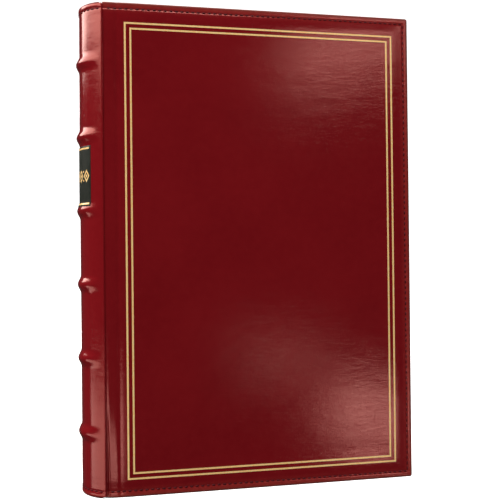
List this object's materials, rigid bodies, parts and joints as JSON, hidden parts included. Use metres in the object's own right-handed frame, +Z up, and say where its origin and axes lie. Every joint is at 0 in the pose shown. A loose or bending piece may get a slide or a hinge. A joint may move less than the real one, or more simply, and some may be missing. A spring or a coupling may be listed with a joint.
{
  "type": "stamp album",
  "caption": "Bound stamp album with padded leather covers, a rounded spine with raised bands and a blank label, and card leaves that turn as the front cover opens.",
  "frame": {"origin": "centre of the footprint, on the surface that the tail edges stand on", "axes": "+Z up along the spine towards the head, -Y out of the front cover, -X out of the spine"},
  "size_m": [0.2168, 0.043, 0.305],
  "materials": {
    "leather": "glossy dark red bonded leather",
    "label_leather": "dark green-black leather label with gold tooling",
    "grey_board": "grey bookbinding board",
    "foam": "soft padding",
    "endpaper": "ivory endpaper",
    "black_card": "matt black card",
    "lining_cloth": "open-weave lining cloth",
    "band_cord": "hemp cord",
    "band_silk": "woven silk in gold and dark red"
  },
  "bodies": {
    "spine": {"spine_leather": "leather", "spine_card": "grey_board", "raised_band_1": "band_cord", "raised_band_2": "band_cord", "raised_band_3": "band_cord", "raised_band_4": "band_cord", "raised_band_5": "band_cord", "raised_band_6": "band_cord", "spine_label": "label_leather", "guard_block": "black_card", "spine_lining": "lining_cloth", "head_band": "band_silk", "tail_band": "band_silk"},
    "front_cover": {"front_leather": "leather", "front_board": "grey_board", "front_padding": "foam", "front_pastedown": "endpaper"},
    "front_flyleaf": {"front_flyleaf": "endpaper"},
    "leaf_01": {"leaf_01": "black_card"},
    "leaf_02": {"leaf_02": "black_card"},
    "leaf_03": {"leaf_03": "black_card"},
    "leaf_04": {"leaf_04": "black_card"},
    "leaf_05": {"leaf_05": "black_card"},
    "leaf_06": {"leaf_06": "black_card"},
    "leaf_07": {"leaf_07": "black_card"},
    "leaf_08": {"leaf_08": "black_card"},
    "leaf_09": {"leaf_09": "black_card"},
    "leaf_10": {"leaf_10": "black_card"},
    "leaf_11": {"leaf_11": "black_card"},
    "leaf_12": {"leaf_12": "black_card"},
    "leaf_13": {"leaf_13": "black_card"},
    "leaf_14": {"leaf_14": "black_card"},
    "leaf_15": {"leaf_15": "black_card"},
    "leaf_16": {"leaf_16": "black_card"},
    "leaf_17": {"leaf_17": "black_card"},
    "leaf_18": {"leaf_18": "black_card"},
    "leaf_19": {"leaf_19": "black_card"},
    "leaf_20": {"leaf_20": "black_card"},
    "leaf_21": {"leaf_21": "black_card"},
    "leaf_22": {"leaf_22": "black_card"},
    "leaf_23": {"leaf_23": "black_card"},
    "leaf_24": {"leaf_24": "black_card"},
    "back_flyleaf": {"back_flyleaf": "endpaper"},
    "back_cover": {"back_leather": "leather", "back_board": "grey_board", "back_padding": "foam", "back_pastedown": "endpaper"}
  },
  "joints": [
    {"name": "front_cover_hinge", "type": "hinge", "parent": "spine", "child": "front_cover", "pos_m": [-0.0896, -0.02165, 0], "axis": [0, 0, -1], "range_deg": [0, 178]},
    {"name": "back_cover_hinge", "type": "hinge", "parent": "spine", "child": "back_cover", "pos_m": [-0.0896, 0.02165, 0], "axis": [0, 0, 1], "range_deg": [0, 178]},
    {"name": "front_flyleaf_hinge", "type": "hinge", "parent": "spine", "child": "front_flyleaf", "pos_m": [-0.0836, -0.0142, 0], "axis": [0, 0, -1], "range_deg": [0, 89.01]},
    {"name": "leaf_01_hinge", "type": "hinge", "parent": "spine", "child": "leaf_01", "pos_m": [-0.0836, -0.0135, 0], "axis": [0, 0, -1], "range_deg": [0, 51.63]},
    {"name": "leaf_02_hinge", "type": "hinge", "parent": "spine", "child": "leaf_02", "pos_m": [-0.0836, -0.01235, 0], "axis": [0, 0, -1], "range_deg": [0, 49.47]},
    {"name": "leaf_03_hinge", "type": "hinge", "parent": "spine", "child": "leaf_03", "pos_m": [-0.0836, -0.0112, 0], "axis": [0, 0, -1], "range_deg": [0, 47.32]},
    {"name": "leaf_04_hinge", "type": "hinge", "parent": "spine", "child": "leaf_04", "pos_m": [-0.0836, -0.01005, 0], "axis": [0, 0, -1], "range_deg": [0, 45.17]},
    {"name": "leaf_05_hinge", "type": "hinge", "parent": "spine", "child": "leaf_05", "pos_m": [-0.0836, -0.0089, 0], "axis": [0, 0, -1], "range_deg": [0, 43.02]},
    {"name": "leaf_06_hinge", "type": "hinge", "parent": "spine", "child": "leaf_06", "pos_m": [-0.0836, -0.00775, 0], "axis": [0, 0, -1], "range_deg": [0, 40.87]},
    {"name": "leaf_07_hinge", "type": "hinge", "parent": "spine", "child": "leaf_07", "pos_m": [-0.0836, -0.0066, 0], "axis": [0, 0, -1], "range_deg": [0, 38.72]},
    {"name": "leaf_08_hinge", "type": "hinge", "parent": "spine", "child": "leaf_08", "pos_m": [-0.0836, -0.00545, 0], "axis": [0, 0, -1], "range_deg": [0, 36.57]},
    {"name": "leaf_09_hinge", "type": "hinge", "parent": "spine", "child": "leaf_09", "pos_m": [-0.0836, -0.0043, 0], "axis": [0, 0, -1], "range_deg": [0, 34.42]},
    {"name": "leaf_10_hinge", "type": "hinge", "parent": "spine", "child": "leaf_10", "pos_m": [-0.0836, -0.00315, 0], "axis": [0, 0, -1], "range_deg": [0, 32.27]},
    {"name": "leaf_11_hinge", "type": "hinge", "parent": "spine", "child": "leaf_11", "pos_m": [-0.0836, -0.002, 0], "axis": [0, 0, -1], "range_deg": [0, 30.12]},
    {"name": "leaf_12_hinge", "type": "hinge", "parent": "spine", "child": "leaf_12", "pos_m": [-0.0836, -0.00085, 0], "axis": [0, 0, -1], "range_deg": [0, 27.97]},
    {"name": "leaf_13_hinge", "type": "hinge", "parent": "spine", "child": "leaf_13", "pos_m": [-0.0836, 0.0003, 0], "axis": [0, 0, -1], "range_deg": [0, 25.82]},
    {"name": "leaf_14_hinge", "type": "hinge", "parent": "spine", "child": "leaf_14", "pos_m": [-0.0836, 0.00145, 0], "axis": [0, 0, -1], "range_deg": [0, 23.66]},
    {"name": "leaf_15_hinge", "type": "hinge", "parent": "spine", "child": "leaf_15", "pos_m": [-0.0836, 0.0026, 0], "axis": [0, 0, -1], "range_deg": [0, 21.51]},
    {"name": "leaf_16_hinge", "type": "hinge", "parent": "spine", "child": "leaf_16", "pos_m": [-0.0836, 0.00375, 0], "axis": [0, 0, -1], "range_deg": [0, 19.36]},
    {"name": "leaf_17_hinge", "type": "hinge", "parent": "spine", "child": "leaf_17", "pos_m": [-0.0836, 0.0049, 0], "axis": [0, 0, -1], "range_deg": [0, 17.21]},
    {"name": "leaf_18_hinge", "type": "hinge", "parent": "spine", "child": "leaf_18", "pos_m": [-0.0836, 0.00605, 0], "axis": [0, 0, -1], "range_deg": [0, 15.06]},
    {"name": "leaf_19_hinge", "type": "hinge", "parent": "spine", "child": "leaf_19", "pos_m": [-0.0836, 0.0072, 0], "axis": [0, 0, -1], "range_deg": [0, 12.91]},
    {"name": "leaf_20_hinge", "type": "hinge", "parent": "spine", "child": "leaf_20", "pos_m": [-0.0836, 0.00835, 0], "axis": [0, 0, -1], "range_deg": [0, 10.76]},
    {"name": "leaf_21_hinge", "type": "hinge", "parent": "spine", "child": "leaf_21", "pos_m": [-0.0836, 0.0095, 0], "axis": [0, 0, -1], "range_deg": [0, 8.61]},
    {"name": "leaf_22_hinge", "type": "hinge", "parent": "spine", "child": "leaf_22", "pos_m": [-0.0836, 0.01065, 0], "axis": [0, 0, -1], "range_deg": [0, 6.46]},
    {"name": "leaf_23_hinge", "type": "hinge", "parent": "spine", "child": "leaf_23", "pos_m": [-0.0836, 0.0118, 0], "axis": [0, 0, -1], "range_deg": [0, 4.31]},
    {"name": "leaf_24_hinge", "type": "hinge", "parent": "spine", "child": "leaf_24", "pos_m": [-0.0836, 0.01295, 0], "axis": [0, 0, -1], "range_deg": [0, 2.16]},
    {"name": "back_flyleaf_hinge", "type": "hinge", "parent": "spine", "child": "back_flyleaf", "pos_m": [-0.0836, 0.0142, 0], "axis": [0, 0, 1], "range_deg": [0, 89.01]}
  ],
  "couplings": [
    {"joint": "front_flyleaf_hinge", "follows": "front_cover_hinge", "ratio": 0.5},
    {"joint": "leaf_01_hinge", "follows": "front_cover_hinge", "ratio": 0.29},
    {"joint": "leaf_02_hinge", "follows": "front_cover_hinge", "ratio": 0.27792},
    {"joint": "leaf_03_hinge", "follows": "front_cover_hinge", "ratio": 0.26583},
    {"joint": "leaf_04_hinge", "follows": "front_cover_hinge", "ratio": 0.25375},
    {"joint": "leaf_05_hinge", "follows": "front_cover_hinge", "ratio": 0.24167},
    {"joint": "leaf_06_hinge", "follows": "front_cover_hinge", "ratio": 0.22958},
    {"joint": "leaf_07_hinge", "follows": "front_cover_hinge", "ratio": 0.2175},
    {"joint": "leaf_08_hinge", "follows": "front_cover_hinge", "ratio": 0.20542},
    {"joint": "leaf_09_hinge", "follows": "front_cover_hinge", "ratio": 0.19333},
    {"joint": "leaf_10_hinge", "follows": "front_cover_hinge", "ratio": 0.18125},
    {"joint": "leaf_11_hinge", "follows": "front_cover_hinge", "ratio": 0.16917},
    {"joint": "leaf_12_hinge", "follows": "front_cover_hinge", "ratio": 0.15708},
    {"joint": "leaf_13_hinge", "follows": "front_cover_hinge", "ratio": 0.145},
    {"joint": "leaf_14_hinge", "follows": "front_cover_hinge", "ratio": 0.13292},
    {"joint": "leaf_15_hinge", "follows": "front_cover_hinge", "ratio": 0.12083},
    {"joint": "leaf_16_hinge", "follows": "front_cover_hinge", "ratio": 0.10875},
    {"joint": "leaf_17_hinge", "follows": "front_cover_hinge", "ratio": 0.09667},
    {"joint": "leaf_18_hinge", "follows": "front_cover_hinge", "ratio": 0.08458},
    {"joint": "leaf_19_hinge", "follows": "front_cover_hinge", "ratio": 0.0725},
    {"joint": "leaf_20_hinge", "follows": "front_cover_hinge", "ratio": 0.06042},
    {"joint": "leaf_21_hinge", "follows": "front_cover_hinge", "ratio": 0.04833},
    {"joint": "leaf_22_hinge", "follows": "front_cover_hinge", "ratio": 0.03625},
    {"joint": "leaf_23_hinge", "follows": "front_cover_hinge", "ratio": 0.02417},
    {"joint": "leaf_24_hinge", "follows": "front_cover_hinge", "ratio": 0.01208},
    {"joint": "back_flyleaf_hinge", "follows": "back_cover_hinge", "ratio": 0.5}
  ]
}
